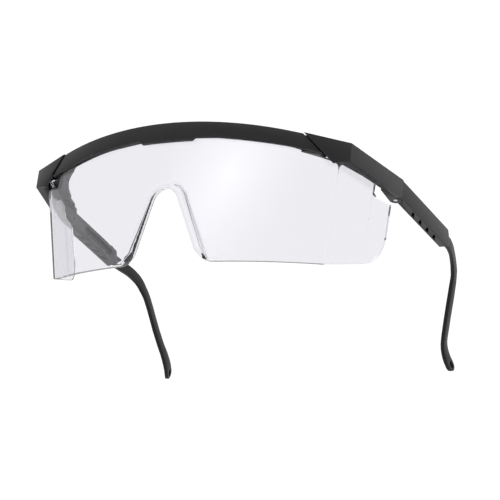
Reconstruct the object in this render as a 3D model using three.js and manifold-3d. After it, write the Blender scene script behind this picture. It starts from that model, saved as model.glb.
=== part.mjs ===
// Wrap-around safety glasses: a one-piece clear visor with side shields, a nylon brow
// frame, and on each side a corner arm that sets the lens angle, a hinged temple
// sleeve and an ear hook that slides in the sleeve to set the length.
//
// Millimetres. The wearer looks along -Y, +Z is up and +X is the wearer's left.
// The finished group stands on z = 0, with the origin under the middle of its box.

import * as THREE from 'three';
import { mergeVertices } from 'three/addons/utils/BufferGeometryUtils.js';
import Module from 'manifold-3d';

const wasm = await Module();
wasm.setup();

// ---------------------------------------------------------------- driving dimensions

const DEG = Math.PI / 180;
const GAP = 0.3;                  // clearance between pieces that touch or run together

const LENS_THICKNESS = 2;
const LENS_HALF_WIDTH = 61.5;     // centre line to the folded corner, at the bottom edge
const LENS_SAG = 19.4;            // how far the corner lies behind the centre, in plan
const LENS_FLARE = 0.00202;       // the lens widens by this share for each mm of height
const LENS_TILT = 9.3;            // degrees from upright, top forward
const LENS_IN_BROW = 2.26;        // its front face at the brow's bottom edge, behind the brow's face
const LENS_BASE = -0.3;           // height of its bottom edge at the centre
const LENS_INSERT = 3;            // how far its top edge reaches into the brow's groove
const CORNER_RADIUS = 4.5;
const SHIELD_LENGTH = 36.6;
const SHIELD_SPLAY = 16;          // degrees outward from straight back
const SHIELD_REAR_RADIUS = 13;
const SHIELD_RISE = 6.5;          // its bottom edge climbs this much from the corner to the rear
const NOTCH_LEAD = 1.8;           // the shield's hinge notch starts this far ahead of the hinge block
const NOTCH_CLEARANCE = 3.5;      // and lies this far under it, so that the arm can tilt down

const NOSE_HEIGHT = 29.7;         // bottom edge of the lens to the top of the opening
const NOSE_TOP_RADIUS = 6;
const NOSE_LEG_ANGLE = 20;        // degrees from upright
const NOSE_FOOT_RADIUS = 8;
const NOSE_RIM = 3.9;             // width of the moulded rim round the opening
const NOSE_RIM_PROUD = 2.4;       // the rim stands this far out of the lens's front face
const NOSE_RIM_BEHIND = 0.3;      // and this far out of its rear face

const BROW_LESS_SAG = 1.8;        // at the groove's end the bar has curved back less than the lens
const BROW_DEPTH = 5.8;           // front to back
const BROW_HEIGHT = 6.3;
const BROW_BOTTOM = 49.4;         // height of its bottom edge on the centre line
const BROW_FALL = 4.69;           // both edges fall by this from the centre to the groove's end
const GROOVE_PAST_CORNER = 0.5;   // the lens groove ends this far outside the lens's foot corner
const GROOVE_END_WALL = 1;
const TAB_HALF_WIDTH = 13;        // centre tab below the bar
const TAB_DROP = 1.5;
const TAB_BEVEL = 2;
const REAR_WALL_RISE = 1.5;       // the wall behind the groove ends this far above the bar's bottom edge
const REAR_WALL_DEPTH = 3.9;      // it lies at least this far behind the bar's face
const EAVE_THICKNESS = 1.5;       // web over the side shields
const EAVE_DROP = 2.5;            // its underside lies this far under the bar's bottom edge
const EAVE_CLEARANCE = 0.9;       // from the shield's top edge up to the web
const EAVE_WIDTH = 4.6;
const EAVE_ALONG_BAR = 17;        // the web leaves the bar this far inside the groove's end
const EAVE_BOW = 8;               // its inner edge bows towards a point this far behind the corner
const EAVE_FROM_HINGE = 4.2;      // from the fold axis to the web's rear end
const EAVE_ARM_CLEARANCE = 1.8;   // from the web to the arm's inner face at the corner

const PIVOT_BACK = 3.9;           // lens-tilt pivot, behind the lens's corner
const PIVOT_DROP = 2.2;           // and under the bar's bottom edge
const PIVOT_BOSS_RADIUS = 2.3;
const PIVOT_PIN_RADIUS = 0.9;
const TONGUE_CLEARANCE = 1.5;     // from the brow's end tongues to the arm's inner face
const PIN_IN_TONGUE = 5;
const PIN_IN_ARM = 3.8;

const CORNER_OUTSET = 3.86;       // the arm's outer bend, outside the lens's corner at the brow's height
const CORNER_BACK = 2.3;          // and behind it
const CAP_LENGTH = 17.2;          // outer bend to the cap's inner end
const CAP_PROUD = 0.45;           // the cap stands this far out of the brow's face
const CAP_THICKNESS = 1.15;
const CAP_LIFT = 0.3;             // the arm's top edge stands this far above the sleeve's
const CAP_TOP_RISE = 2.2;         // the cap's top edge climbs this much towards the brow
const CAP_FLANGE = 1.1;
const CAP_FLANGE_WIDTH = 4.2;
const CAP_RECESS = 2.4;           // depth of the brow's step that the cap lies in
const SEAM_GAP = 0.5;             // between the cap's slanted edge and the brow's step
const SEAM_LAP = 4;               // the bar's core runs on behind the cap by this much
const SEAM_LIP = 2;               // and a thin lip in front of the core by this much
const SEAM_LIP_BACK = 1.3;          // the lip lies this far behind the bar's face
const FLANGE_INSET = 1.8;         // and the cap's top flange starts this far past the core
const SEAM_FOOT_INSET = 6.3;      // low end of the slanted edge, inside the outer bend
const SEAM_OVERHANG = 1.3;        // the seam's foot hangs this far below the arm's bottom edge
const SIDE_SLOPE = 1.2;           // degrees that the arms fall towards the ears
const ARM_DROP = 4.9;             // arm's bottom edge, under the tilt pivot
const ARM_THICKNESS = 3.2;
const ARM_CORNER_THICKNESS = 3.8; // it is thicker beside the lens's corner
const ARM_TAPER_END = 21;         // behind the tilt pivot; from here its wall is even
const SHELF_INSET = 3.9;          // the hinge block's top shelf reaches this far further in

const HINGE_OUTSET = 3.4;         // fold axis, outside the shield's face at the hinge notch
const HINGE_BACK = 37.8;          // fold axis, behind the tilt pivot
const KNUCKLE_RADIUS = 2.6;
const KNUCKLE_LENGTH = 13;        // the moulded hinge block, ahead of the axis
const HINGE_PIN_RADIUS = 0.9;
const LEAF_HALF_HEIGHT = 1.4;     // the sleeve's middle leaf

const SLEEVE_SPLAY = 4;           // degrees outward
const SLEEVE_OUTER = 3.83;        // outer face, from the fold axis
const SLEEVE_THICKNESS = 3.9;
const SLEEVE_HALF_HEIGHT = 3.8;
const SLEEVE_LENGTH = 52.2;       // fold axis to the sleeve's rear end
const SLEEVE_FRONT = 1.95;        // the butt face lies this far ahead of the axis
const SLEEVE_SIDE_WALL = 0.75;
const SLEEVE_EDGE_WALL = 0.9;
const CHANNEL_START = 5;
const NOTCH_FIRST = 14.5;
const NOTCH_PITCH = 8.1;          // one click of temple length
const NOTCH_COUNT = 4;
const NOTCH_WIDTH = 3.2;
const NOTCH_SLANT = 3;            // each notch runs this far back from outer face to inner
const WINDOW_START = 16;
const WINDOW_LENGTH = 29;
const WINDOW_HEIGHT = 3.4;
const WINDOW_RADIUS = 1.5;

const BLADE_CLEARANCE = 0.4;      // the hook's blade in its channel, above and below
const HOOK_TIP_WIDTH = 5.8;
const HOOK_LEAN = 0.26;           // inward per mm of length behind the sleeve
const HOOK_DROP_LEAN = 0.175;      // inward per mm of drop
const HOOK_TIP_FLARE = 0.045;     // the tip curls out again
const HOOK_FLARE_DROP = 31.5;      // from this drop on
const HOOK_TIP_LENGTH = 5.4;      // straight end before the round of the tip
const CLICK_LENGTH = 2.4;         // the catch at the blade's front end
const CLICK_HEIGHT = 0.7;
const CLICK_RELIEF = 13;          // the blade is cut back behind the catch, so that it can flex
const HOLE_RADIUS = 1.1;          // cord hole in the tip
const HOLE_LENGTH = 3.6;

// ---------------------------------------------------------------- materials

const nylon = () => new THREE.MeshStandardMaterial({ color: 0x38383a, roughness: 0.55, metalness: 0 });
const clear = () => new THREE.MeshStandardMaterial({
  color: 0xe6e6ee, roughness: 0.05, metalness: 0, transparent: true, opacity: 0.35,
});
const steel = () => new THREE.MeshStandardMaterial({ color: 0x9a9a9c, roughness: 0.3, metalness: 1 });

// ---------------------------------------------------------------- outlines

/** A closed Shape through [x, y, radius] corners, each rounded by its own radius. */
function rounded(corners) {
  const shape = new THREE.Shape();
  const at = (i) => corners[(i + corners.length) % corners.length];
  corners.forEach(([x, y, radius = 0], i) => {
    const corner = new THREE.Vector2(x, y);
    const before = new THREE.Vector2(...at(i - 1).slice(0, 2)).sub(corner).normalize();
    const after = new THREE.Vector2(...at(i + 1).slice(0, 2)).sub(corner).normalize();
    if (radius === 0) {
      if (i === 0) shape.moveTo(x, y);
      else shape.lineTo(x, y);
      return;
    }
    const half = Math.acos(THREE.MathUtils.clamp(before.dot(after), -1, 1)) / 2;
    const reach = radius / Math.tan(half);
    const start = corner.clone().addScaledVector(before, reach);
    const end = corner.clone().addScaledVector(after, reach);
    const middle = before.add(after).normalize();
    const centre = corner.clone().addScaledVector(middle, radius / Math.sin(half));
    if (i === 0) shape.moveTo(start.x, start.y);
    else shape.lineTo(start.x, start.y);
    const from = start.sub(centre).angle();
    const to = end.sub(centre).angle();
    const clockwise = THREE.MathUtils.euclideanModulo(to - from, 2 * Math.PI) > Math.PI;
    shape.absarc(centre.x, centre.y, radius, from, to, clockwise);
  });
  return shape;
}

/** The points of a circular arc about [cx, cy], from angle a to angle b. */
function arcPoints(cx, cy, radius, a, b, count) {
  return Array.from({ length: count + 1 }, (_, i) => {
    const angle = a + (b - a) * i / count;
    return new THREE.Vector2(cx + radius * Math.cos(angle), cy + radius * Math.sin(angle));
  });
}

/** Each point of an open line moved sideways, to the right of its direction. */
function offset(points, distance) {
  return points.map((p, i) => {
    const a = points[Math.max(i - 1, 0)];
    const b = points[Math.min(i + 1, points.length - 1)];
    const into = p.clone().sub(a).normalize();
    const out = b.clone().sub(p).normalize();
    const along = into.clone().add(out).normalize();
    const mitre = i === 0 || i === points.length - 1 ? 1 : Math.sqrt((1 + into.dot(out)) / 2);
    return p.clone().add(new THREE.Vector2(along.y, -along.x).multiplyScalar(distance / mitre));
  });
}

/** The closed band between two lines that run the same way. */
const band = (a, b) => new THREE.Shape([...a, ...[...b].reverse()]);

// ---------------------------------------------------------------- solids

/** A manifold solid from a closed three.js geometry. */
function solid(geometry) {
  const bare = geometry.index ? geometry.toNonIndexed() : geometry.clone();
  bare.deleteAttribute('normal');
  bare.deleteAttribute('uv');
  const merged = mergeVertices(bare, 1e-4);
  return new wasm.Manifold(new wasm.Mesh({
    numProp: 3,
    vertProperties: new Float32Array(merged.attributes.position.array),
    triVerts: new Uint32Array(merged.index.array),
  }));
}

/** The three.js geometry of a manifold solid. */
function geometryOf(body) {
  const { numProp, vertProperties, triVerts } = body.getMesh();
  const places = new Float32Array(vertProperties.length / numProp * 3);
  for (let i = 0; i < places.length / 3; i += 1) {
    places.set(vertProperties.subarray(i * numProp, i * numProp + 3), i * 3);
  }
  const geometry = new THREE.BufferGeometry();
  geometry.setAttribute('position', new THREE.BufferAttribute(places, 3));
  geometry.setIndex(new THREE.BufferAttribute(new Uint32Array(triVerts), 1));
  geometry.computeVertexNormals();
  return geometry;
}

const extrude = (shape, depth, curveSegments = 12, steps = 1) => new THREE.ExtrudeGeometry(
  shape, { depth, curveSegments, steps, bevelEnabled: false },
);

/** An outline in XY, between two heights. */
const upright = (shape, z0, z1, segments) => extrude(shape, z1 - z0, segments).translate(0, 0, z0);

/** An outline in XZ, between two depths. */
const lengthwise = (shape, y0, y1, segments) => extrude(shape, y1 - y0, segments)
  .rotateX(90 * DEG).translate(0, y1, 0);

/** An outline in YZ, between two widths. */
const crosswise = (shape, x0, x1, segments, steps) => extrude(shape, x1 - x0, segments, steps)
  .applyMatrix4(new THREE.Matrix4().makeBasis(
    new THREE.Vector3(0, 1, 0), new THREE.Vector3(0, 0, 1), new THREE.Vector3(1, 0, 0),
  )).translate(x0, 0, 0);

/** Moves every point of a geometry by a rule. */
function warp(geometry, rule) {
  const places = geometry.attributes.position;
  const p = new THREE.Vector3();
  for (let i = 0; i < places.count; i += 1) {
    rule(p.fromBufferAttribute(places, i));
    places.setXYZ(i, p.x, p.y, p.z);
  }
  return geometry;
}

const box = (x0, x1, y0, y1, z0, z1) => new THREE.BoxGeometry(x1 - x0, y1 - y0, z1 - z0)
  .translate((x0 + x1) / 2, (y0 + y1) / 2, (z0 + z1) / 2);

/** A round bar along Z. */
const post = (radius, x, y, z0, z1, sides = 24) => new THREE.CylinderGeometry(radius, radius, z1 - z0, sides)
  .rotateX(90 * DEG).translate(x, y, (z0 + z1) / 2);

/** A round bar along X. */
const spindle = (radius, x0, x1, y, z, sides = 24) => new THREE.CylinderGeometry(
  radius, radius, x1 - x0, sides,
).rotateZ(90 * DEG).translate((x0 + x1) / 2, y, z);

/** The same geometry on the other side of the centre plane. */
function mirrored(geometry) {
  const bare = geometry.clone();
  bare.deleteAttribute('normal');
  bare.deleteAttribute('uv');
  const other = warp(mergeVertices(bare, 1e-4), (p) => p.setX(-p.x));
  const { index } = other;
  for (let i = 0; i < index.count; i += 3) {
    const first = index.getX(i);
    index.setX(i, index.getX(i + 1));
    index.setX(i + 1, first);
  }
  other.computeVertexNormals();
  return other;
}

function piece(name, body, material) {
  const mesh = new THREE.Mesh(body.isBufferGeometry ? body : geometryOf(body), material);
  mesh.name = name;
  return mesh;
}

// ---------------------------------------------------------------- lens

const TALL = 80;                  // taller than the whole lens
const WIDE = 200;                 // wider than the whole object
const lensRadius = (LENS_HALF_WIDTH ** 2 + LENS_SAG ** 2) / (2 * LENS_SAG);
const lensApexBack = LENS_IN_BROW + (BROW_BOTTOM - LENS_BASE) * Math.tan(LENS_TILT * DEG);
const pivotY = LENS_SAG + PIVOT_BACK;
const pivotZ = BROW_BOTTOM - PIVOT_DROP;
const eaveBottom = BROW_BOTTOM - EAVE_DROP;
const notchFrom = pivotY + HINGE_BACK - KNUCKLE_LENGTH - NOTCH_LEAD;

/** The lens's front line in plan, from one shield's rear end to the other's. */
function lensLine() {
  const edge = Math.asin(LENS_HALF_WIDTH / lensRadius);
  const arcStep = 18;
  const front = arcPoints(0, lensRadius, lensRadius, -90 * DEG, -90 * DEG + edge * 0.97, arcStep);
  const last = front.at(-1);
  const corner = new THREE.Vector2(LENS_HALF_WIDTH, LENS_SAG);
  const back = new THREE.Vector2(Math.sin(SHIELD_SPLAY * DEG), Math.cos(SHIELD_SPLAY * DEG));
  const into = corner.clone().sub(last).normalize();
  const turn = Math.acos(into.dot(back));
  const reach = CORNER_RADIUS * Math.tan(turn / 2);
  const start = corner.clone().addScaledVector(into, -reach);
  const normal = new THREE.Vector2(-into.y, into.x);
  const centre = start.clone().addScaledVector(normal, CORNER_RADIUS);
  const from = start.clone().sub(centre).angle();
  const bend = arcPoints(centre.x, centre.y, CORNER_RADIUS, from, from + turn, 5);
  const rear = corner.clone().addScaledVector(back, SHIELD_LENGTH);
  const half = [...front, ...bend, rear];
  const other = half.slice(1).reverse().map((p) => new THREE.Vector2(-p.x, p.y));
  return [...other, ...half];
}

/** Leans a geometry of the lens's own upright frame to its place under the brow. */
function leanLens(geometry) {
  return geometry.rotateX(LENS_TILT * DEG).translate(0, lensApexBack, LENS_BASE);
}

const flare = (geometry) => warp(geometry, (p) => p.setX(p.x * (1 + LENS_FLARE * p.z)));

/** Half width over a side shield's outer face, at a depth and height of the placed lens. */
function shieldHalfWidth(y, z) {
  const place = new THREE.Vector3(0, y - lensApexBack, z - LENS_BASE)
    .applyAxisAngle(new THREE.Vector3(1, 0, 0), -LENS_TILT * DEG);
  const foot = LENS_HALF_WIDTH + (place.y - LENS_SAG) * Math.tan(SHIELD_SPLAY * DEG);
  return foot * (1 + LENS_FLARE * place.z);
}

/** The lens's wall, made thicker by grow on both faces. */
function lensWall(grow, bottom) {
  const line = lensLine();
  const shape = band(offset(line, grow), offset(line, -(LENS_THICKNESS + grow)));
  return flare(upright(shape, bottom, TALL));
}

/** The arch of the nose opening, grown outwards, down past the lens's bottom edge. */
function noseArch(grow) {
  const radius = NOSE_TOP_RADIUS + grow;
  const lean = NOSE_LEG_ANGLE * DEG;
  const centre = NOSE_HEIGHT - NOSE_TOP_RADIUS;
  const topX = radius * Math.tan((90 * DEG - lean) / 2);
  const footX = topX + (centre + radius) * Math.tan(lean);
  const foot = NOSE_FOOT_RADIUS * Math.tan((90 * DEG - lean) / 2);
  const below = 10;
  return rounded([
    [-topX, centre + radius, radius], [-footX, 0, NOSE_FOOT_RADIUS],
    [-footX - foot, 0], [-footX - foot, -below], [footX + foot, -below], [footX + foot, 0],
    [footX, 0, NOSE_FOOT_RADIUS], [topX, centre + radius, radius],
  ]);
}

const grooveEnd = LENS_HALF_WIDTH + GROOVE_PAST_CORNER;
const browSag = LENS_SAG - BROW_LESS_SAG;
const browRadius = (grooveEnd ** 2 + browSag ** 2) / (2 * browSag);
const browFace = (x) => browRadius - Math.sqrt(browRadius ** 2 - x ** 2);
const browLow = (x) => BROW_BOTTOM - BROW_FALL * (x / grooveEnd) ** 2;
const browHigh = (x) => browLow(x) + BROW_HEIGHT;

/** Everything under the lens's top edge, seen from the front. */
function underTopEdge(grow) {
  const steps = 24;
  const end = grooveEnd + grow;
  const curve = Array.from({ length: steps + 1 }, (_, i) => {
    const x = end * (2 * i / steps - 1);
    return new THREE.Vector2(x, browLow(x) + LENS_INSERT + grow);
  });
  return new THREE.Shape([
    new THREE.Vector2(-end, -TALL), ...curve, new THREE.Vector2(end, -TALL),
  ]);
}

function makeLens() {
  const rearLine = LENS_SAG + SHIELD_LENGTH * Math.cos(SHIELD_SPLAY * DEG);
  const side = rounded([
    [-20, 0], [LENS_SAG, 0], [rearLine, SHIELD_RISE, SHIELD_REAR_RADIUS], [rearLine, TALL],
    [-20, TALL],
  ]);
  const rimHalfWidth = 24;
  const middle = lensLine().filter((p) => Math.abs(p.x) < rimHalfWidth);
  const slid = (distance) => middle.map((p) => new THREE.Vector2(p.x, p.y + distance));
  const rimBand = band(slid(-NOSE_RIM_PROUD), slid(LENS_THICKNESS + NOSE_RIM_BEHIND));
  const rimZone = solid(flare(upright(rimBand, 0, TALL)));
  const rim = rimZone.intersect(solid(lengthwise(noseArch(NOSE_RIM), -10, 30, 10)));
  const shell = solid(lensWall(0, 0))
    .intersect(solid(crosswise(side, -WIDE, WIDE, 10)))
    .add(rim)
    .subtract(solid(lengthwise(noseArch(0), -12, 32, 10)));
  const placed = solid(leanLens(geometryOf(shell)));
  const pastPivot = pivotY + 2 * PIVOT_BOSS_RADIUS + GAP;
  const shieldTop = eaveBottom - EAVE_CLEARANCE;
  const notchTop = pivotZ - ARM_DROP - NOTCH_CLEARANCE;
  const cornerTop = browLow(grooveEnd + GROOVE_END_WALL) - GAP;
  const sides = rounded([
    [-10, -TALL], [WIDE, -TALL], [WIDE, notchTop], [notchFrom, notchTop, 3],
    [notchFrom, shieldTop, 1], [pastPivot, shieldTop, 1], [pastPivot, cornerTop, 0.5], [-10, cornerTop],
  ]);
  const keep = solid(lengthwise(underTopEdge(0), -10, pastPivot))
    .add(solid(crosswise(sides, -WIDE, WIDE, 5)));
  return placed.intersect(keep);
}

// ---------------------------------------------------------------- brow frame

/** A stretch of the brow's ring in plan, between two radii, as far out as x on each side. */
function browRing(outer, inner, x) {
  const limit = Math.asin(x / outer);
  const a = arcPoints(0, browRadius, outer, -90 * DEG - limit, -90 * DEG + limit, 36);
  const b = arcPoints(0, browRadius, inner, -90 * DEG - limit, -90 * DEG + limit, 36);
  return band(a, b);
}

/** Gives a unit-high ring the brow's arched bottom and top edges. */
const arched = (geometry) => warp(geometry, (p) => p.setZ(
  browLow(p.x) + p.z * (browHigh(p.x) - browLow(p.x)),
));

const cornerX = LENS_HALF_WIDTH * (1 + LENS_FLARE * BROW_BOTTOM) + CORNER_OUTSET;
const capStartX = cornerX - CAP_LENGTH;
const seamFootX = cornerX - SEAM_FOOT_INSET;
const tongueEnd = cornerX - ARM_CORNER_THICKNESS - TONGUE_CLEARANCE;
const hingeX = shieldHalfWidth(notchFrom, eaveBottom - EAVE_CLEARANCE) + HINGE_OUTSET;
const hingeZ = SLEEVE_HALF_HEIGHT - ARM_DROP;   // middle of the hinge, from the tilt pivot
const armTop = hingeZ + SLEEVE_HALF_HEIGHT;
const capTop = armTop + CAP_LIFT + CAP_TOP_RISE;
const seamFoot = -ARM_DROP - SEAM_OVERHANG;

/** Everything on the brow's side of the seam, both sides at once, widened by lap. */
function insideSeam(lap) {
  const slant = (seamFootX - capStartX) / (capTop - seamFoot);
  const x = (z) => capStartX + (pivotZ + capTop - z) * slant - SEAM_GAP + lap;
  const low = BROW_BOTTOM / 2;
  const high = BROW_BOTTOM + 2 * BROW_HEIGHT;
  return new THREE.Shape([
    new THREE.Vector2(-x(low), low), new THREE.Vector2(x(low), low),
    new THREE.Vector2(x(high), high), new THREE.Vector2(-x(high), high),
  ]);
}

/** The web that roofs the gap over one side shield, in plan. */
function eaveShape() {
  const start = grooveEnd - EAVE_ALONG_BAR;
  const second = start + EAVE_WIDTH;
  const shape = new THREE.Shape();
  shape.moveTo(start, browFace(start) + BROW_DEPTH * 0.8);
  shape.quadraticCurveTo(
    LENS_HALF_WIDTH, LENS_SAG + EAVE_BOW, hingeX - EAVE_FROM_HINGE - EAVE_WIDTH, notchFrom,
  );
  shape.lineTo(hingeX - EAVE_FROM_HINGE, notchFrom);
  shape.lineTo(cornerX - ARM_CORNER_THICKNESS - EAVE_ARM_CLEARANCE, pivotY + PIVOT_BOSS_RADIUS + GAP);
  shape.lineTo(tongueEnd - PIN_IN_TONGUE, LENS_SAG - 0.2);
  shape.lineTo(second, browFace(second) + BROW_DEPTH / 2);
  return shape;
}

function makeBrow() {
  const core = browRadius - CAP_RECESS;
  const back = browRadius - BROW_DEPTH;
  const underCap = BROW_BOTTOM + 0.2;
  const face = upright(browRing(browRadius, core - 0.5, grooveEnd), 0, 1);
  const skin = solid(arched(face)).intersect(solid(lengthwise(insideSeam(0), -20, 60)));
  const body = solid(arched(upright(browRing(core, back, grooveEnd + GROOVE_END_WALL), 0, 1)));
  const low = solid(box(-WIDE, WIDE, -20, 60, BROW_BOTTOM / 2, underCap));
  const rear = body.intersect(solid(lengthwise(insideSeam(SEAM_LAP), -20, 60)).add(low));
  const tabEdge = TAB_HALF_WIDTH - TAB_BEVEL;
  const tab = solid(lengthwise(rounded([
    [-TAB_HALF_WIDTH, BROW_BOTTOM + 1], [-TAB_HALF_WIDTH, BROW_BOTTOM],
    [-tabEdge, BROW_BOTTOM - TAB_DROP], [tabEdge, BROW_BOTTOM - TAB_DROP],
    [TAB_HALF_WIDTH, BROW_BOTTOM], [TAB_HALF_WIDTH, BROW_BOTTOM + 1],
  ]), -20, 20)).intersect(solid(upright(browRing(browRadius, core, grooveEnd), 0, TALL)));
  const eave = upright(eaveShape(), eaveBottom, eaveBottom + EAVE_THICKNESS, 10);
  const boss = spindle(PIVOT_BOSS_RADIUS, grooveEnd - 1.5, tongueEnd, pivotY, pivotZ, 20);
  const hole = spindle(
    PIVOT_PIN_RADIUS + GAP, tongueEnd - PIN_IN_TONGUE - GAP, WIDE, pivotY, pivotZ, 16,
  );
  const lip = solid(arched(upright(browRing(browRadius - SEAM_LIP_BACK, core - 0.9, grooveEnd - 1), 0, 1)))
    .intersect(solid(lengthwise(insideSeam(SEAM_LIP), -20, 60)));
  let frame = skin.add(rear).add(lip).add(tab);
  for (const part of [eave, boss]) {
    frame = frame.add(solid(part)).add(solid(mirrored(part)));
  }
  const rearFoot = solid(warp(
    upright(browRing(browRadius - REAR_WALL_DEPTH, back - 1, grooveEnd - 3), -1, 0),
    (p) => p.setZ(browLow(p.x) + REAR_WALL_RISE + p.z * 5),
  ));
  const groove = solid(leanLens(lensWall(GAP, -5)))
    .intersect(solid(lengthwise(underTopEdge(GAP), -10, 60)));
  return frame.subtract(rearFoot).subtract(groove)
    .subtract(solid(hole)).subtract(solid(mirrored(hole)));
}

// ---------------------------------------------------------------- side arm
// The arm's frame stands at the tilt pivot; these pieces are the wearer's left ones.

const cornerY = LENS_SAG + CORNER_BACK - pivotY;
const capStartY = browFace(capStartX) - CAP_PROUD - pivotY;
const armRear = HINGE_BACK - SLEEVE_FRONT - 2 * GAP;
const rearX = hingeX + SLEEVE_OUTER;
const capSlope = (cornerY - capStartY) / (cornerX - capStartX);
const outerX = (y) => cornerX + (y - cornerY) * (rearX - cornerX) / (armRear - cornerY);

/** The cap and arm from the front, lowered by drop. */
function armFront(drop) {
  const top = armTop + CAP_LIFT;
  return rounded([
    [capStartX, capTop - drop], [cornerX, top - drop], [WIDE, top - drop],
    [WIDE, -ARM_DROP - drop], [cornerX, -ARM_DROP - drop], [seamFootX, seamFoot - drop],
  ]);
}

function makeArm() {
  const plate = CAP_THICKNESS * Math.hypot(1, capSlope);
  const onCap = (x) => capStartY + (x - capStartX) * capSlope;
  const plateY = (x) => onCap(x) + plate;
  const cornerInner = cornerX - ARM_CORNER_THICKNESS;
  const plan = rounded([
    [capStartX, capStartY], [cornerX, cornerY], [rearX, armRear], [rearX - ARM_THICKNESS, armRear],
    [outerX(ARM_TAPER_END) - ARM_THICKNESS, ARM_TAPER_END], [cornerInner, cornerY + 0.6],
    [cornerInner, plateY(cornerInner)], [capStartX, plateY(capStartX)],
  ]);
  const flangeRear = 3.5;
  const flangeStart = capStartX + SEAM_LAP + FLANGE_INSET;
  const flangePlan = rounded([
    [flangeStart, onCap(flangeStart) + 0.2], [cornerX - 0.2, cornerY],
    [outerX(flangeRear) - 0.2, flangeRear], [outerX(flangeRear) - CAP_FLANGE_WIDTH - 1, flangeRear],
    [flangeStart, onCap(flangeStart) + CAP_FLANGE_WIDTH],
  ]);
  const front = solid(lengthwise(armFront(0), -40, 60));
  const wall = solid(upright(plan, -20, 20)).intersect(front);
  const flange = solid(upright(flangePlan, -20, 20)).intersect(front)
    .subtract(solid(lengthwise(armFront(CAP_FLANGE), -50, 70)));
  const wallOverlap = 1;
  const blockX = hingeX - KNUCKLE_RADIUS;
  const blockFront = HINGE_BACK - KNUCKLE_LENGTH;
  const blockTop = hingeZ + SLEEVE_HALF_HEIGHT;
  const blockFoot = hingeZ - SLEEVE_HALF_HEIGHT;
  const block = upright(rounded([
    [blockX, blockFront, 2], [outerX(blockFront) - wallOverlap, blockFront],
    [rearX - 2 * wallOverlap, armRear - wallOverlap / 2],
    [hingeX, HINGE_BACK], [blockX, HINGE_BACK],
  ]), blockFoot, blockTop, 6);
  const shelf = upright(rounded([
    [blockX - SHELF_INSET, blockFront, 0.8], [hingeX, blockFront], [hingeX, HINGE_BACK],
    [blockX + 0.3, HINGE_BACK - 0.6], [blockX - SHELF_INSET / 2, HINGE_BACK - 4.5, 6],
  ]), blockTop - EAVE_THICKNESS, blockTop, 6);
  const barrel = post(KNUCKLE_RADIUS, hingeX, HINGE_BACK, blockFoot, blockTop);
  const slot = post(
    KNUCKLE_RADIUS + GAP, hingeX, HINGE_BACK,
    hingeZ - LEAF_HALF_HEIGHT - GAP, hingeZ + LEAF_HALF_HEIGHT + GAP,
  );
  const pinHole = post(HINGE_PIN_RADIUS + GAP, hingeX, HINGE_BACK, blockFoot - 1, blockTop + 1, 16);
  const pivotHole = spindle(
    PIVOT_PIN_RADIUS + GAP, capStartX, tongueEnd + PIN_IN_ARM + GAP, 0, 0, 16,
  );
  return [flange, solid(block), solid(shelf), solid(barrel)]
    .reduce((body, part) => body.add(part), wall)
    .subtract(solid(slot)).subtract(solid(pinHole)).subtract(solid(pivotHole));
}

// ---------------------------------------------------------------- temple sleeve
// The sleeve's frame stands on the fold axis, with +Y along the sleeve.

const sleeveInner = SLEEVE_OUTER - SLEEVE_THICKNESS;
const channelInner = sleeveInner + SLEEVE_SIDE_WALL;
const channelOuter = SLEEVE_OUTER - SLEEVE_SIDE_WALL;
const channelHalf = SLEEVE_HALF_HEIGHT - SLEEVE_EDGE_WALL;
const bladeWidth = 2 * (channelHalf - BLADE_CLEARANCE);

function makeSleeve() {
  const h = SLEEVE_HALF_HEIGHT;
  const side = rounded([
    [-SLEEVE_FRONT, -h], [SLEEVE_LENGTH, -h, 2], [SLEEVE_LENGTH + 0.4, -0.6, 2],
    [SLEEVE_LENGTH - 2, h, 1.2], [-SLEEVE_FRONT, h],
  ]);
  let body = solid(crosswise(side, sleeveInner, SLEEVE_OUTER, 5));
  for (const end of [-1, 1]) {
    const low = Math.min(end * LEAF_HALF_HEIGHT, end * 10);
    body = body.subtract(solid(post(KNUCKLE_RADIUS + GAP, 0, 0, low, low + 10 - LEAF_HALF_HEIGHT)));
  }
  body = body.add(solid(post(KNUCKLE_RADIUS, 0, 0, -LEAF_HALF_HEIGHT, LEAF_HALF_HEIGHT)));
  const channel = box(
    channelInner, channelOuter, CHANNEL_START, SLEEVE_LENGTH + 5, -channelHalf, channelHalf,
  );
  const windowEnd = WINDOW_START + WINDOW_LENGTH;
  const windowTop = channelHalf - 0.7;
  const windowFoot = windowTop - WINDOW_HEIGHT;
  const window = crosswise(rounded([
    [WINDOW_START, windowFoot, WINDOW_RADIUS], [windowEnd, windowFoot, WINDOW_RADIUS],
    [windowEnd, windowTop, WINDOW_RADIUS], [WINDOW_START, windowTop, WINDOW_RADIUS],
  ]), sleeveInner - 1, channelInner + 0.2, 4);
  body = body.subtract(solid(channel)).subtract(solid(window));
  const notchDepth = channelOuter - 0.4;
  for (let i = 0; i < NOTCH_COUNT; i += 1) {
    const y = NOTCH_FIRST + i * NOTCH_PITCH;
    const notch = upright(rounded([
      [channelInner, y + NOTCH_SLANT / 3], [notchDepth, y - NOTCH_SLANT * 2 / 3],
      [notchDepth, y - NOTCH_SLANT * 2 / 3 + NOTCH_WIDTH * 0.6],
      [channelInner, y + NOTCH_SLANT / 3 + NOTCH_WIDTH],
    ]), -h - 1, -channelHalf + 0.2);
    body = body.subtract(solid(notch));
  }
  return body.subtract(solid(post(HINGE_PIN_RADIUS + GAP, 0, 0, -10, 10, 16)));
}

// ---------------------------------------------------------------- ear hook

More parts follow.
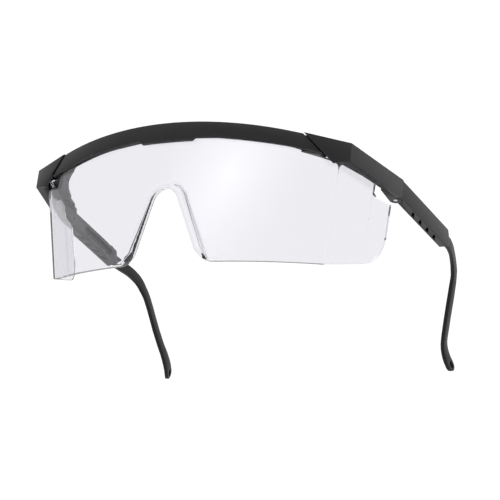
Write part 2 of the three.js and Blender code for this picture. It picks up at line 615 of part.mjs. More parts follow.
/** Stations along a side-view centre line: [length] runs straight, [radius, degrees] turns. */
function walk(start, moves) {
  const stepDegrees = 5;
  const stations = [{ at: start.clone(), heading: 0 }];
  const here = start.clone();
  let heading = 0;
  for (const [length, turn = 0] of moves) {
    const steps = Math.max(1, Math.ceil(Math.abs(turn) / stepDegrees));
    for (let i = 0; i < steps; i += 1) {
      const bend = (turn / steps) * DEG;
      const stride = turn ? 2 * length * Math.sin(Math.abs(bend) / 2) : length;
      heading += bend / 2;
      here.add(new THREE.Vector2(Math.cos(heading), -Math.sin(heading)).multiplyScalar(stride));
      heading += bend / 2;
      stations.push({ at: here.clone(), heading });
    }
  }
  return stations;
}

/** How far the hook leans out of the sleeve's plane, at a point of its side view. */
function hookLean(y, z) {
  const easing = 10;
  const past = Math.max(y - SLEEVE_LENGTH - 0.5, 0);
  const eased = past < easing ? past * past / (2 * easing) : past - easing / 2;
  const drop = Math.max(-z - bladeWidth, 0);
  const below = Math.max(-z - HOOK_FLARE_DROP, 0);
  return HOOK_TIP_FLARE * below * below - HOOK_LEAN * eased - HOOK_DROP_LEAN * drop;
}

function makeHook() {
  const start = new THREE.Vector2(NOTCH_FIRST - CLICK_LENGTH / 2, 0);
  const stations = walk(start, [
    [SLEEVE_LENGTH - start.x], [5], [5.5], [32, 18], [16, 44], [66, 7], [100, -8], [26, -23],
    [HOOK_TIP_LENGTH * 0.4], [HOOK_TIP_LENGTH * 0.6],
  ]);
  const radius = HOOK_TIP_WIDTH / 2;
  const widen = 5;
  const blade = stations.map(({ at, heading }, i) => {
    const late = Math.max(0, i - (stations.length - 1 - widen)) / widen;
    return { at, heading, half: bladeWidth / 2 + (radius - bladeWidth / 2) * late };
  });
  const end = blade.at(-1);
  for (const angle of [25, 45, 60, 72, 80]) {
    const reach = radius * Math.sin(angle * DEG);
    const along = new THREE.Vector2(Math.cos(end.heading), -Math.sin(end.heading));
    blade.push({
      at: end.at.clone().addScaledVector(along, reach),
      heading: end.heading,
      half: radius * Math.cos(angle * DEG),
    });
  }
  const inner = channelInner + GAP;
  const thickness = channelOuter - channelInner - 2 * GAP;
  const strip = new THREE.BoxGeometry(1, 1, 1, 1, 2, blade.length - 1);
  const bent = solid(warp(strip, (p) => {
    const { at, heading, half } = blade[Math.round((p.z + 0.5) * (blade.length - 1))];
    const y = at.x - 2 * p.y * half * Math.sin(heading);
    const z = at.y - 2 * p.y * half * Math.cos(heading);
    p.set(inner + (p.x + 0.5) * thickness + hookLean(at.x, at.y), y, z);
  }));
  const flex = box(
    inner - 1, inner + thickness + 1,
    NOTCH_FIRST + CLICK_LENGTH / 2, NOTCH_FIRST + CLICK_LENGTH / 2 + CLICK_RELIEF,
    -bladeWidth, -bladeWidth / 2 + CLICK_HEIGHT,
  );
  const round = HOLE_RADIUS * 0.999;
  const hole = crosswise(rounded([
    [-HOLE_LENGTH / 2, -HOLE_RADIUS, round], [HOLE_LENGTH / 2, -HOLE_RADIUS, round],
    [HOLE_LENGTH / 2, HOLE_RADIUS, round], [-HOLE_LENGTH / 2, HOLE_RADIUS, round],
  ]), -WIDE, WIDE, 4).rotateX(-end.heading).translate(0, end.at.x, end.at.y);
  return geometryOf(bent.subtract(solid(flex)).subtract(solid(hole)));
}

// ---------------------------------------------------------------- pins

const makeTiltPin = () => spindle(
  PIVOT_PIN_RADIUS, tongueEnd - PIN_IN_TONGUE, tongueEnd + PIN_IN_ARM, 0, 0, 16,
);

function makeHingePin() {
  const half = SLEEVE_HALF_HEIGHT - 0.1;
  return post(HINGE_PIN_RADIUS, hingeX, HINGE_BACK, hingeZ - half, hingeZ + half, 16);
}

// ---------------------------------------------------------------- assembly

const glasses = new THREE.Group();
glasses.add(piece('brow_frame', makeBrow(), nylon()));
glasses.add(piece('lens', makeLens(), clear()));

const leftPieces = {
  side_arm: geometryOf(makeArm()),
  tilt_pin: makeTiltPin(),
  hinge_pin: makeHingePin(),
  temple_sleeve: geometryOf(makeSleeve()),
  ear_hook: makeHook(),
};
for (const [side, name] of [[1, 'left'], [-1, 'right']]) {
  const own = (key, material) => piece(
    `${key}_${name}`, side > 0 ? leftPieces[key] : mirrored(leftPieces[key]), material,
  );
  const arm = new THREE.Group();
  arm.position.set(0, pivotY, pivotZ);
  arm.rotation.x = -SIDE_SLOPE * DEG;
  arm.add(own('side_arm', nylon()), own('tilt_pin', steel()), own('hinge_pin', steel()));
  const temple = new THREE.Group();
  temple.position.set(side * hingeX, HINGE_BACK, hingeZ);
  temple.rotation.z = -side * SLEEVE_SPLAY * DEG;
  temple.add(own('temple_sleeve', nylon()), own('ear_hook', nylon()));
  arm.add(temple);
  glasses.add(arm);
}

const standing = new THREE.Box3().setFromObject(glasses, true);
glasses.position.set(0, -(standing.min.y + standing.max.y) / 2, -standing.min.z);

export default glasses;
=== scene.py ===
# %% [markdown]
# # Safety glasses
# This lesson dresses the frame of a pair of wrap-around safety glasses. The frame already has every
# moving piece at its real size and place, in metres: +X is the wearer's left, the wearer looks along
# -Y, and +Z is up. Here each piece gets the rounded edges of a real moulding and a finish of its own.

# %% Load the frame
import math

import bmesh
import bpy
from mathutils import Matrix, Vector
from mathutils.kdtree import KDTree


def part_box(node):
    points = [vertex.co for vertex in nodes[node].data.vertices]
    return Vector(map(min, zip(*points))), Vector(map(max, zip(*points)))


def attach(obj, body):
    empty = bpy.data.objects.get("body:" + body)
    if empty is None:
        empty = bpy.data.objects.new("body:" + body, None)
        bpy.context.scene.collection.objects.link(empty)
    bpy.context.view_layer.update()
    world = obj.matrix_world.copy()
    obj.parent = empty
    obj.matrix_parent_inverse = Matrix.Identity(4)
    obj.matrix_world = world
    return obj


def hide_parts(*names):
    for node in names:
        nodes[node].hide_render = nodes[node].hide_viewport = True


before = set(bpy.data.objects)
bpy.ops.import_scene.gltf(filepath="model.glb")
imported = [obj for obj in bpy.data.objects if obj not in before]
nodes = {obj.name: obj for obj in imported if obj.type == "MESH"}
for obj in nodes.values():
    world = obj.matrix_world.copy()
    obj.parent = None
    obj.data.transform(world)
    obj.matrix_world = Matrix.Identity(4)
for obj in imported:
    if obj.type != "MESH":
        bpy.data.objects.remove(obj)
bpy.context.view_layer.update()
MM = 0.001
SIDES = ("left", "right")
print("frame:", sorted(nodes))

# %% [markdown]
# ## The camera
# The glasses are seen from the wearer's front left and from well below, as if someone held them up
# against the sky. A long lens keeps the far temple nearly as large as the near one. A camera looks
# along its own -Z, so its matrix is built from the line of sight and the upward direction.

# %% Camera
CAMERA_PLACE = Vector((0.2842, -0.5960, -0.2128))
CAMERA_SIGHT = Vector((-0.39947, 0.84750, 0.34953))
CAMERA_UP = Vector((0.0563, -0.35788, 0.93207))


def make_camera():
    data = bpy.data.cameras.new("camera")
    data.lens = 115.2
    data.sensor_width = 36
    data.clip_start = 0.05
    camera = bpy.data.objects.new("camera", data)
    bpy.context.scene.collection.objects.link(camera)
    back = -CAMERA_SIGHT.normalized()
    right = CAMERA_UP.cross(back).normalized()
    up = back.cross(right)
    axes = Matrix((right, up, back)).transposed().to_4x4()
    camera.matrix_world = Matrix.Translation(CAMERA_PLACE) @ axes
    bpy.context.scene.camera = camera
    return camera


camera = make_camera()
print("camera at", [round(v, 3) for v in CAMERA_PLACE], "lens", camera.data.lens, "mm")

# %% [markdown]
# ## Small tools for node trees
# A finish is a tree of nodes. These helpers add a node and join sockets, so that the recipes below
# read as what they do.

# %% Node helpers


def add(tree, kind, **settings):
    """A new node with some of its settings and plain input values."""
    node = tree.nodes.new(kind)
    inputs = settings.pop("inputs", {})
    for name, value in settings.items():
        setattr(node, name, value)
    for name, value in inputs.items():
        node.inputs[name].default_value = value
    return node


def new_group(name, inputs, outputs):
    """A shader node group with named sockets, and its two end nodes."""
    group = bpy.data.node_groups.new(name, "ShaderNodeTree")
    for label, kind, value in inputs:
        socket = group.interface.new_socket(name=label, in_out="INPUT", socket_type=kind)
        socket.default_value = value
    for label, kind in outputs:
        group.interface.new_socket(name=label, in_out="OUTPUT", socket_type=kind)
    return group, group.nodes.new("NodeGroupInput"), group.nodes.new("NodeGroupOutput")


def new_finish(name, **values):
    """A material with one Principled shader, its uniform values set on its own sockets."""
    finish = bpy.data.materials.new(name)
    finish.use_nodes = True
    shader = finish.node_tree.nodes["Principled BSDF"]
    for socket, value in values.items():
        shader.inputs[socket.replace("_", " ")].default_value = value
    return finish, finish.node_tree, shader


# %% [markdown]
# ## Spark-eroded grain
# A nylon moulding takes its matt skin from the mould, which is eroded by sparks: tiny round pits, all
# alike, with a slow drift in how deep they are. Two noise scales give this. The group returns a height
# for bump, a mask for roughness and a soft mottle for colour, and both nylon finishes use it.

# %% Mould grain group


def make_mould_grain():
    number = "NodeSocketFloat"
    group, into, out = new_group(
        "mould_grain",
        [("Pit Scale", number, 3000.0), ("Drift Scale", number, 60.0), ("Drift Share", number, 0.3)],
        [("Height", number), ("Rough Mask", number), ("Mottle", number)],
    )
    place = add(group, "ShaderNodeTexCoord")
    pits = add(group, "ShaderNodeTexVoronoi", feature="SMOOTH_F1", inputs={"Smoothness": 0.6})
    grain = add(group, "ShaderNodeTexNoise", inputs={"Detail": 3.0, "Roughness": 0.6})
    drift = add(group, "ShaderNodeTexNoise", inputs={"Detail": 2.0})
    for node, scale in ((pits, "Pit Scale"), (grain, "Pit Scale"), (drift, "Drift Scale")):
        group.links.new(place.outputs["Object"], node.inputs["Vector"])
        group.links.new(into.outputs[scale], node.inputs["Scale"])
    both = add(group, "ShaderNodeMix", inputs={"Factor": 0.5})
    group.links.new(pits.outputs["Distance"], both.inputs["A"])
    group.links.new(grain.outputs["Fac"], both.inputs["B"])
    blended = add(group, "ShaderNodeMix")
    group.links.new(into.outputs["Drift Share"], blended.inputs["Factor"])
    group.links.new(both.outputs["Result"], blended.inputs["A"])
    group.links.new(drift.outputs["Fac"], blended.inputs["B"])
    group.links.new(both.outputs["Result"], out.inputs["Height"])
    group.links.new(blended.outputs["Result"], out.inputs["Rough Mask"])
    group.links.new(drift.outputs["Fac"], out.inputs["Mottle"])
    return group


MOULD_GRAIN = make_mould_grain()
print("group:", MOULD_GRAIN.name, [s.name for s in MOULD_GRAIN.interface.items_tree])

# %% [markdown]
# ## Handling marks
# Hands leave long, soft smears on anything smooth. Stretched noise makes them. On the nylon they
# shift the gloss a little, and on the clear visor they only just break the reflections.

# %% Handling marks group


def make_handling_marks():
    number = "NodeSocketFloat"
    group, into, out = new_group(
        "handling_marks",
        [("Scale", number, 30.0), ("Stretch", number, 3.0), ("Low", number, 0.4), ("High", number, 0.7)],
        [("Smear", number)],
    )
    place = add(group, "ShaderNodeTexCoord")
    stretch = add(group, "ShaderNodeCombineXYZ", inputs={"X": 1.0, "Y": 1.0})
    scaled = add(group, "ShaderNodeVectorMath", operation="MULTIPLY")
    noise = add(group, "ShaderNodeTexNoise", inputs={"Detail": 4.0, "Distortion": 0.6})
    window = add(group, "ShaderNodeMapRange")
    group.links.new(into.outputs["Stretch"], stretch.inputs["Z"])
    group.links.new(place.outputs["Object"], scaled.inputs[0])
    group.links.new(stretch.outputs["Vector"], scaled.inputs[1])
    group.links.new(scaled.outputs["Vector"], noise.inputs["Vector"])
    group.links.new(into.outputs["Scale"], noise.inputs["Scale"])
    group.links.new(noise.outputs["Fac"], window.inputs["Value"])
    group.links.new(into.outputs["Low"], window.inputs["From Min"])
    group.links.new(into.outputs["High"], window.inputs["From Max"])
    group.links.new(window.outputs["Result"], out.inputs["Smear"])
    return group


HANDLING_MARKS = make_handling_marks()
print("group:", HANDLING_MARKS.name)

# %% [markdown]
# ## Black nylon
# The bar, arms, sleeves and hooks are glass-filled nylon: charcoal, matt, with a broad sheen where it
# faces the light. The pits drive a fine bump and the roughness, and the mottle moves the colour by a
# few percent, as pigment does. The eroded skin scatters most of its mirror reflection, so its
# specular level is low. One recipe with different numbers makes both finishes: the bar and arms are
# a little lighter than the hooks.

# %% Nylon finishes


def place_group(tree, group, **values):
    node = add(tree, "ShaderNodeGroup", node_tree=group)
    for name, value in values.items():
        node.inputs[name.replace("_", " ")].default_value = value
    return node


def make_nylon(name, dark, light, smooth, rough, pit_depth):
    finish, tree, shader = new_finish(name, Metallic=0.0, IOR=1.53, Specular_IOR_Level=0.22)
    grain = place_group(tree, MOULD_GRAIN, Pit_Scale=2600.0, Drift_Scale=45.0, Drift_Share=0.35)
    marks = place_group(tree, HANDLING_MARKS, Scale=70.0, Stretch=2.0, Low=0.45, High=0.75)
    colour = add(tree, "ShaderNodeMix", data_type="RGBA")
    colour.inputs["A"].default_value = (*dark, 1)
    colour.inputs["B"].default_value = (*light, 1)
    tree.links.new(grain.outputs["Mottle"], colour.inputs["Factor"])
    tree.links.new(colour.outputs[2], shader.inputs["Base Color"])
    gloss = add(tree, "ShaderNodeMapRange", inputs={"To Min": smooth, "To Max": rough})
    tree.links.new(grain.outputs["Rough Mask"], gloss.inputs["Value"])
    rubbed = add(tree, "ShaderNodeMath", operation="MULTIPLY_ADD", inputs={1: -0.06})
    tree.links.new(marks.outputs["Smear"], rubbed.inputs[0])
    tree.links.new(gloss.outputs["Result"], rubbed.inputs[2])
    tree.links.new(rubbed.outputs["Value"], shader.inputs["Roughness"])
    bump = add(tree, "ShaderNodeBump", inputs={"Strength": 0.35, "Distance": pit_depth})
    tree.links.new(grain.outputs["Height"], bump.inputs["Height"])
    tree.links.new(bump.outputs["Normal"], shader.inputs["Normal"])
    return finish


PIT_DEPTH = 0.04 * MM
BAR_NYLON = make_nylon(
    "bar_nylon", (0.012, 0.012, 0.013), (0.02, 0.02, 0.021), 0.36, 0.54, PIT_DEPTH,
)
HOOK_NYLON = make_nylon(
    "hook_nylon", (0.004, 0.004, 0.004), (0.008, 0.008, 0.0085), 0.4, 0.58, PIT_DEPTH,
)
print("finishes:", BAR_NYLON.name, HOOK_NYLON.name)

# %% [markdown]
# ## Clear visor
# The visor is hard-coated polycarbonate. It is glass to the renderer: full transmission, the real
# index of 1.58, and a whisper of cool grey, because even clear visors carry a blue toner and a UV
# blocker. Its gloss is almost perfect, and the handling marks only lift the roughness by a hair.

# %% Visor finish


def make_visor_finish():
    finish, tree, shader = new_finish(
        "clear_polycarbonate", Metallic=0.0, IOR=1.58, Transmission_Weight=1.0,
    )
    shader.inputs["Base Color"].default_value = (0.79, 0.785, 0.825, 1)
    marks = place_group(tree, HANDLING_MARKS, Scale=25.0, Stretch=2.5, Low=0.5, High=0.8)
    haze = add(tree, "ShaderNodeMapRange", inputs={"To Min": 0.0, "To Max": 0.012})
    tree.links.new(marks.outputs["Smear"], haze.inputs["Value"])
    tree.links.new(haze.outputs["Result"], shader.inputs["Roughness"])
    ripple = add(tree, "ShaderNodeTexNoise", inputs={"Scale": 40.0, "Detail": 1.0})
    bump = add(tree, "ShaderNodeBump", inputs={"Strength": 0.05, "Distance": 0.02 * MM})
    tree.links.new(ripple.outputs["Fac"], bump.inputs["Height"])
    tree.links.new(bump.outputs["Normal"], shader.inputs["Normal"])
    return finish


VISOR = make_visor_finish()

# %% [markdown]
# ## Drawn steel
# The hinge and tilt pins are drawn wire: bright, with fine scratches along the pin.

# %% Steel finish


def make_steel():
    finish, tree, shader = new_finish("drawn_steel", Metallic=1.0)
    marks = place_group(tree, HANDLING_MARKS, Scale=900.0, Stretch=0.05, Low=0.3, High=0.7)
    grain = place_group(tree, MOULD_GRAIN, Pit_Scale=4000.0, Drift_Scale=200.0, Drift_Share=0.5)
    colour = add(tree, "ShaderNodeMix", data_type="RGBA")
    colour.inputs["A"].default_value = (0.52, 0.52, 0.54, 1)
    colour.inputs["B"].default_value = (0.62, 0.62, 0.64, 1)
    tree.links.new(grain.outputs["Mottle"], colour.inputs["Factor"])
    tree.links.new(colour.outputs[2], shader.inputs["Base Color"])
    gloss = add(tree, "ShaderNodeMapRange", inputs={"To Min": 0.22, "To Max": 0.42})
    tree.links.new(marks.outputs["Smear"], gloss.inputs["Value"])
    tree.links.new(gloss.outputs["Result"], shader.inputs["Roughness"])
    return finish


STEEL = make_steel()
for side in SIDES:
    for pin in ("tilt_pin", "hinge_pin"):
        data = nodes[f"{pin}_{side}"].data
        data.materials.clear()
        data.materials.append(STEEL)
print("finishes:", VISOR.name, STEEL.name)

# %% [markdown]
# ## Rounding a moulding
# A mould can't make a knife edge, and light gives a real edge a thin bright line. Each nylon piece is
# a copy of its frame solid. Flat triangles are melted back into whole faces, the sharp edges are cut
# off by a narrow bevel, and the rest is shaded smooth.

# %% Moulding helpers


def copied_solid(node):
    """The solid of a frame node as an editable mesh with whole faces."""
    bm = bmesh.new()
    bm.from_mesh(nodes[node].data)
    bmesh.ops.remove_doubles(bm, verts=bm.verts, dist=0.002 * MM)
    bmesh.ops.dissolve_degenerate(bm, dist=0.01 * MM, edges=bm.edges)
    bmesh.ops.dissolve_limit(bm, angle_limit=math.radians(0.8), verts=bm.verts, edges=bm.edges)
    return bm


def finished_piece(bm, name, node, body, finish, crease=32):
    """Turns the edited mesh into a piece that stands for its frame node."""
    mesh = bpy.data.meshes.new(name)
    bm.to_mesh(mesh)
    bm.free()
    mesh.shade_smooth()
    mesh.set_sharp_from_angle(angle=math.radians(crease))
    mesh.materials.append(finish)
    piece = bpy.data.objects.new(name, mesh)
    bpy.context.scene.collection.objects.link(piece)
    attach(piece, body)
    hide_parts(node)
    print(f"{name}: {len(mesh.vertices)} vertices on {body}")


def soften(bm, width):
    """Bevels the convex edges sharper than 30 degrees, and returns how many there were."""
    least = math.radians(30)
    sharp = [e for e in bm.edges if e.is_manifold and e.calc_face_angle_signed(0) > least]
    bmesh.ops.bevel(
        bm, geom=sharp, offset=width, offset_type="OFFSET", segments=2, profile=0.5,
        affect="EDGES", clamp_overlap=True,
    )
    return len(sharp)


# %% [markdown]
# ## The nylon pieces
# The brow bar carries everything. Each corner arm turns on the bar to set the lens angle, each sleeve
# folds on the arm, and each hook slides in its sleeve.

# %% Brow bar, arms, sleeves and hooks


def make_moulding(node, name, body, finish, edge):
    bm = copied_solid(node)
    count = soften(bm, edge)
    print(f"{name}: {count} edges rounded")
    finished_piece(bm, name, node, body, finish)


make_moulding("brow_frame", "brow_bar", "front", BAR_NYLON, 0.25 * MM)
for side in SIDES:
    make_moulding(f"side_arm_{side}", f"corner_arm_{side}", f"arm_{side}", BAR_NYLON, 0.2 * MM)
    make_moulding(f"temple_sleeve_{side}", f"sleeve_{side}", f"temple_{side}", BAR_NYLON, 0.2 * MM)
    make_moulding(f"ear_hook_{side}", f"hook_{side}", f"hook_{side}", HOOK_NYLON, 0.35 * MM)

# %% [markdown]
# ## The visor's shape
# The visor is one clear moulding: a curved front that folds back into two side shields, with a thick
# bead round the nose. Clear material shows every wrong normal as a warped reflection, so it isn't made
# from the frame's triangles but as a fine regular net. Each column of the net is a straight upright
# line on the visor, placed along its plan line, and runs from the bottom edge to the top edge. First
# come the plan line and the two edges, in the visor's own upright frame, in millimetres.

# %% Visor outline
VISOR_FOOT = Vector((0, -72.455, 0.064))
VISOR_TILT = math.radians(9.3)
VISOR_FLARE = 0.00202
HALF_WIDTH = 61.5
SAG = 19.4
FRONT_RADIUS = (HALF_WIDTH ** 2 + SAG ** 2) / (2 * SAG)
THICKNESS = 2.0
FOLD_RADIUS = 4.5
SPLAY = math.radians(16)
SHIELD_LENGTH = 36.6
SHIELD_RISE = 6.5
REAR_RADIUS = 13.0
NOSE_HEIGHT = 29.7
NOSE_RADIUS = 6.0
NOSE_LEAN = math.radians(20)
NOSE_FOOT = 8.0
MIDDLE_HALF_WIDTH = 24
MIDDLE_COLUMNS = 110
SIDE_COLUMNS = 26
FOLD_COLUMNS = 8
SHIELD_COLUMNS = 48


def plan_line():
    """Half of the visor's plan line as (point, outward direction), from the middle to the rear."""
    line = []
    reach = math.asin(HALF_WIDTH / FRONT_RADIUS)
    into = Vector((math.cos(reach), math.sin(reach)))
    back = Vector((math.sin(SPLAY), math.cos(SPLAY)))
    turn = into.angle(back)
    cut = FOLD_RADIUS * math.tan(turn / 2)
    end = reach - cut / FRONT_RADIUS
    middle = MIDDLE_HALF_WIDTH / HALF_WIDTH
    shares = [i / MIDDLE_COLUMNS * middle for i in range(MIDDLE_COLUMNS + 1)]
    shares += [middle + (1 - middle) * i / SIDE_COLUMNS for i in range(1, SIDE_COLUMNS + 1)]
    for share in shares:
        angle = end * share
        across, along = math.sin(angle), math.cos(angle)
        point = Vector((FRONT_RADIUS * across, FRONT_RADIUS * (1 - along)))
        line.append((point, Vector((across, -along))))
    start = line[-1][0]
    heading = end
    centre = start + FOLD_RADIUS * Vector((-math.sin(heading), math.cos(heading)))
    last = math.pi / 2 - SPLAY
    for i in range(1, FOLD_COLUMNS + 1):
        angle = heading + (last - heading) * i / FOLD_COLUMNS
        out = Vector((math.sin(angle), -math.cos(angle)))
        line.append((centre + FOLD_RADIUS * out, out))
    fold = line[-1][0].copy()
    aside = Vector((math.cos(SPLAY), -math.sin(SPLAY)))
    for i in range(1, SHIELD_COLUMNS + 1):
        share = math.sin(math.pi / 2 * i / SHIELD_COLUMNS)
        line.append((fold + back * (SHIELD_LENGTH - cut) * share, aside))
    return line


def nose_arch(x):
    """Height of the nose opening's edge at a distance from the middle."""
    x = abs(x)
    lean = math.tan(NOSE_LEAN)
    half = math.tan((math.pi / 2 - NOSE_LEAN) / 2)
    top_x = NOSE_RADIUS * half
    foot_x = top_x + NOSE_HEIGHT * lean + NOSE_FOOT * half
    if x <= NOSE_RADIUS * math.cos(NOSE_LEAN):
        return NOSE_HEIGHT - NOSE_RADIUS + math.sqrt(NOSE_RADIUS ** 2 - x ** 2)
    if x <= foot_x - NOSE_FOOT * math.cos(NOSE_LEAN):
        return NOSE_HEIGHT - (x - top_x) / lean
    if x <= foot_x:
        return NOSE_FOOT - math.sqrt(NOSE_FOOT ** 2 - (foot_x - x) ** 2)
    return 0.0


def bottom_edge(point):
    """Height of the visor's bottom edge over a point of the plan line."""
    if point.y < SAG:
        height = 0.0
        for _ in range(12):
            height = nose_arch(point.x * (1 + VISOR_FLARE * height))
        return height
    rear = SAG + SHIELD_LENGTH * math.cos(SPLAY)
    slope = SHIELD_RISE / (rear - SAG)
    tip = math.atan(slope)
    edge = slope * (point.y - SAG)
    centre_y = rear - REAR_RADIUS
    centre_z = slope * (centre_y - SAG) + REAR_RADIUS / math.cos(tip)
    if point.y <= centre_y + REAR_RADIUS * math.sin(tip):
        return edge
    across = min(point.y - centre_y, REAR_RADIUS)
    return centre_z - math.sqrt(REAR_RADIUS ** 2 - across ** 2)


print("front radius", round(FRONT_RADIUS, 1), "mm, nose opening", NOSE_HEIGHT, "mm high")

# %% [markdown]
# The top edge hides in the brow bar's groove along the front. Outside the groove it drops under the
# tilt pivot, climbs beside the arm, and drops again in a notch that gives the hinge room. Those places
# come from the frame: the groove from the bar, the pivot from its pin and the notch from the arm.

# %% Visor top edge
PIVOT = (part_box("tilt_pin_left")[0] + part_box("tilt_pin_left")[1]) / 2 / MM
HINGE = (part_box("hinge_pin_left")[0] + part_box("hinge_pin_left")[1]) / 2 / MM
GROOVE_END = 62.0
GROOVE_MIDDLE = PIVOT.z + 5.2
GROOVE_FALL = 4.69
CORNER_TOP = PIVOT.z - 2.9
SHIELD_TOP = PIVOT.z - 1.2
NOTCH_TOP = PIVOT.z - 8.4
PAST_PIVOT = PIVOT.y + 4.9
NOTCH_FROM = HINGE.y - 14.8


def placed(x, y, z):
    """A point of the visor's upright frame, flared, tilted and set in its place under the bar."""
    x *= 1 + VISOR_FLARE * z
    c, s = math.cos(VISOR_TILT), math.sin(VISOR_TILT)
    return Vector((x, y * c - z * s, y * s + z * c)) + VISOR_FOOT


def top_edge(point):
    """Height in the upright frame at which the visor's top edge crosses a column."""
    c, s = math.cos(VISOR_TILT), math.sin(VISOR_TILT)
    height = 48.0
    for _ in range(8):
        here = placed(point.x, point.y, height)
        if abs(here.x) <= GROOVE_END and here.y < PAST_PIVOT:
            top = GROOVE_MIDDLE - GROOVE_FALL * (here.x / GROOVE_END) ** 2
        elif here.y < PAST_PIVOT:
            top = CORNER_TOP
        elif here.y < NOTCH_FROM:
            top = SHIELD_TOP
        else:
            rounding = max(0.0, 3.0 - (here.y - NOTCH_FROM))
            top = NOTCH_TOP + 3.0 - math.sqrt(9.0 - rounding ** 2)
        height = (top - VISOR_FOOT.z - point.y * s) / c
    return height


def sharpened(line):
    """Adds a close pair of columns at each step of the top edge, so that the step stands upright."""
    fine = [line[0]]
    for (p, out_p), (q, out_q) in zip(line, line[1:]):
        if abs(top_edge(p) - top_edge(q)) > 1.0:
            low, high = 0.0, 1.0
            for _ in range(12):
                middle = (low + high) / 2
                if abs(top_edge(p.lerp(q, middle)) - top_edge(p)) < 0.5:
                    low = middle
                else:
                    high = middle
            fine += [(p.lerp(q, at), out_p.lerp(out_q, at)) for at in (low, high)]
        fine.append((q, out_q))
    return fine


half_line = sharpened(plan_line())
print("columns on each side:", len(half_line))

# %% [markdown]
# The bead is a rise of both faces near the nose opening. Each net point knows how far it lies from the
# opening's edge, which has a round lip, and how far from the same edge with straight legs. The second
# distance sets the crown and the soft shoulder down to the plain wall, so that the bead runs straight
# down to the bottom edge instead of following the rounded feet outwards.

# %% Visor net
BEAD_WIDTH = 3.9
BEAD_PROUD = 2.3
BEAD_BEHIND = 0.3
BEAD_LIP = 1.5
BEAD_SHOULDER = 1.4
BEAD_REACH = 30
ROWS = 84


def smooth_step(value):
    value = min(max(value, 0.0), 1.0)
    return value * value * (3 - 2 * value)


def lip(distance, radius):
    """How far a round edge has fallen away at a distance from the edge."""
    if distance >= radius:
        return 0.0
    return radius - math.sqrt(radius ** 2 - (radius - distance) ** 2)


def straight_arch(x):
    """The opening's edge if its legs ran straight down, without their rounded feet."""
    if abs(x) <= NOSE_RADIUS * math.cos(NOSE_LEAN):
        return nose_arch(x)
    top_x = NOSE_RADIUS * math.tan((math.pi / 2 - NOSE_LEAN) / 2)
    return NOSE_HEIGHT - (abs(x) - top_x) / math.tan(NOSE_LEAN)


def curve_tree(height_at):
    """The points of a curve over x, ready for nearest-distance questions."""
    count = 1601
    tree = KDTree(count)
    for i in range(count):
        x = MIDDLE_HALF_WIDTH * (2 * i / (count - 1) - 1)
        tree.insert((x, height_at(x), 0), i)
    tree.balance()
    return tree


ARCH = curve_tree(nose_arch)
LEGS = curve_tree(straight_arch)


def faces_out(x, z, height):
    """Distances from the plan line to the front face and to the rear face at a net point."""
    near = abs(x) < BEAD_REACH
    edge = ARCH.find((x, z, 0))[2] if near else BEAD_REACH
    leg = LEGS.find((x, z, 0))[2] if near else BEAD_REACH
    crown = smooth_step((BEAD_WIDTH - leg) / BEAD_SHOULDER)
    fall = lip(edge, BEAD_LIP) * smooth_step(height / 2)
    return BEAD_PROUD * crown - fall, THICKNESS + BEAD_BEHIND * crown - fall


def make_visor():
    other = [(Vector((-p.x, p.y)), Vector((-out.x, out.y))) for p, out in reversed(half_line[1:])]
    line = other + half_line
    sheets = ([], [])
    for point, out in line:
        low, top = bottom_edge(point), top_edge(point)
        for row in range(ROWS + 1):
            z = low + (top - low) * row / ROWS
            front, rear = faces_out(point.x * (1 + VISOR_FLARE * z), z, z)
            for sheet, shift in zip(sheets, (front, -rear)):
                spot = point + out * shift
                sheet.append(placed(spot.x, spot.y, z) * MM)
    count = len(sheets[0])
    tall = ROWS + 1
    columns = len(line)
    faces = []
    for c in range(columns - 1):
        for r in range(ROWS):
            a, b = c * tall + r, (c + 1) * tall + r
            faces.append((a, b, b + 1, a + 1))
            faces.append((count + a, count + a + 1, count + b + 1, count + b))
        bottom, above = c * tall, c * tall + ROWS
        faces.append((bottom + tall, bottom, count + bottom, count + bottom + tall))
        faces.append((above, above + tall, count + above + tall, count + above))
    for r in range(ROWS):
        end = (columns - 1) * tall + r
        faces.append((r, r + 1, count + r + 1, count + r))
        faces.append((end + 1, end, count + end, count + end + 1))
    mesh = bpy.data.meshes.new("visor")
    mesh.from_pydata([*sheets[0], *sheets[1]], [], faces)
    mesh.shade_smooth()
    mesh.set_sharp_from_angle(angle=math.radians(45))
    mesh.materials.append(VISOR)
    visor = bpy.data.objects.new("visor", mesh)
    bpy.context.scene.collection.objects.link(visor)
    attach(visor, "front")
    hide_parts("lens")
    print("visor:", len(mesh.vertices), "vertices;", columns, "columns")
    return visor


visor = make_visor()
lens_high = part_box("lens")[1]
reach = [max(abs(v.co[axis]) for v in visor.data.vertices) for axis in range(3)]
print("visor reach", [round(v / MM, 2) for v in reach], "frame", [round(v / MM, 2) for v in lens_high])

# %% [markdown]
# ## The studio
# White seamless paper runs along the floor, up the back and out of sight, so there is no horizon. The
# floor lies well below the glasses, because the camera looks up at them. The paper glows where it is
# seen directly or through the visor, a little less where something mirrors it, and hardly at all where
# it would only fill the shadows, so the nylon keeps its dark undersides.
#
# Soft light comes from a wide panel overhead, one at the front and one at the side. The last two don't
# show in the visor. What the visor mirrors is a long diffuser in front that fades out to its edges, so
# its reflection is a pale glow without an outline.

# %% Paper and light
FLOOR = -0.62


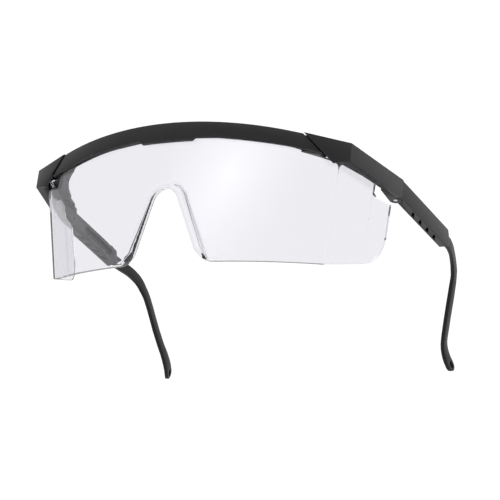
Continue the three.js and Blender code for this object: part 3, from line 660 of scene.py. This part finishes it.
def make_paper():
    half = 4.0
    bend = 1.2
    steps = 12
    profile = [(-6.0, FLOOR), (2.6, FLOOR)]
    for i in range(1, steps + 1):
        turn = math.pi / 2 * i / steps
        profile.append((2.6 + bend * math.sin(turn), FLOOR + bend * (1 - math.cos(turn))))
    profile.append((2.6 + bend, 5.0))
    mesh = bpy.data.meshes.new("paper")
    points = [(x, y, z) for y, z in profile for x in (-half, half)]
    faces = [(2 * i, 2 * i + 1, 2 * i + 3, 2 * i + 2) for i in range(len(profile) - 1)]
    mesh.from_pydata(points, [], faces)
    mesh.shade_smooth()
    paper = bpy.data.objects.new("paper", mesh)
    bpy.context.scene.collection.objects.link(paper)
    finish, tree, shader = new_finish("white_paper", Roughness=0.9)
    shader.inputs["Base Color"].default_value = (0.3, 0.3, 0.3, 1)
    shader.inputs["Emission Color"].default_value = (1, 1, 1, 1)
    ray = add(tree, "ShaderNodeLightPath")
    seen = add(tree, "ShaderNodeMath", operation="MAXIMUM")
    tree.links.new(ray.outputs["Is Camera Ray"], seen.inputs[0])
    tree.links.new(ray.outputs["Is Transmission Ray"], seen.inputs[1])
    direct = add(tree, "ShaderNodeMapRange", inputs={"To Min": 0.12, "To Max": 0.98})
    tree.links.new(seen.outputs["Value"], direct.inputs["Value"])
    mirrored = add(tree, "ShaderNodeMath", operation="MULTIPLY", inputs={1: 0.85})
    tree.links.new(ray.outputs["Is Glossy Ray"], mirrored.inputs[0])
    glow = add(tree, "ShaderNodeMath", operation="MAXIMUM")
    tree.links.new(direct.outputs["Result"], glow.inputs[0])
    tree.links.new(mirrored.outputs["Value"], glow.inputs[1])
    tree.links.new(glow.outputs["Value"], shader.inputs["Emission Strength"])
    mesh.materials.append(finish)


def make_panel(name, place, target, width, height, power, mirrored=True):
    data = bpy.data.lights.new(name, "AREA")
    data.shape = "RECTANGLE"
    data.size = width
    data.size_y = height
    data.energy = power
    panel = bpy.data.objects.new(name, data)
    bpy.context.scene.collection.objects.link(panel)
    aim = Vector(target) - Vector(place)
    panel.matrix_world = Matrix.Translation(place) @ aim.to_track_quat("-Z", "Y").to_matrix().to_4x4()
    panel.visible_glossy = mirrored
    panel.visible_transmission = mirrored


def make_soft_strip(place, target, width, height, strength):
    """A long diffuser whose glow fades out towards its edges, so its reflection has no outline."""
    mesh = bpy.data.meshes.new("soft_strip")
    corners = [(-0.5, -0.5, 0), (0.5, -0.5, 0), (0.5, 0.5, 0), (-0.5, 0.5, 0)]
    mesh.from_pydata([(x * width, y * height, z) for x, y, z in corners], [], [(0, 1, 2, 3)])
    strip = bpy.data.objects.new("soft_strip", mesh)
    bpy.context.scene.collection.objects.link(strip)
    aim = Vector(target) - Vector(place)
    strip.matrix_world = Matrix.Translation(place) @ aim.to_track_quat("-Z", "Y").to_matrix().to_4x4()
    finish, tree, shader = new_finish("soft_strip", Roughness=1.0)
    shader.inputs["Base Color"].default_value = (0.3, 0.3, 0.3, 1)
    shader.inputs["Emission Color"].default_value = (1, 1, 1, 1)
    place_on = add(tree, "ShaderNodeTexCoord")
    centred = add(tree, "ShaderNodeVectorMath", operation="MULTIPLY")
    centred.inputs[1].default_value = (2 / width, 2 / height, 0)
    fade = add(tree, "ShaderNodeTexGradient", gradient_type="QUADRATIC_SPHERE")
    power = add(tree, "ShaderNodeMapRange", inputs={"To Min": 0.85, "To Max": strength})
    tree.links.new(place_on.outputs["Object"], centred.inputs[0])
    tree.links.new(centred.outputs["Vector"], fade.inputs["Vector"])
    tree.links.new(fade.outputs["Fac"], power.inputs["Value"])
    tree.links.new(power.outputs["Result"], shader.inputs["Emission Strength"])
    mesh.materials.append(finish)


make_paper()
middle = (0, 0, 0.03)
make_panel("overhead", (0.1, -0.3, 1.5), middle, 1.6, 1.2, 13)
make_panel("front", (-1.3, -1.9, 0.5), middle, 0.9, 0.9, 16, mirrored=False)
make_panel("side", (1.6, 0.6, 0.3), middle, 0.6, 1.4, 44, mirrored=False)
make_soft_strip((0.0, -2.2, 0.19), middle, 3.4, 0.5, 2.6)
world = bpy.data.worlds.new("studio")
world.use_nodes = True
air = world.node_tree
background = air.nodes["Background"]
background.inputs["Color"].default_value = (1, 1, 1, 1)
ray = add(air, "ShaderNodeLightPath")
open_air = add(air, "ShaderNodeMapRange", inputs={"To Min": 0.98, "To Max": 0.12})
air.links.new(ray.outputs["Is Diffuse Ray"], open_air.inputs["Value"])
air.links.new(open_air.outputs["Result"], background.inputs["Strength"])
bpy.context.scene.world = world
bpy.context.scene.view_settings.view_transform = "Standard"
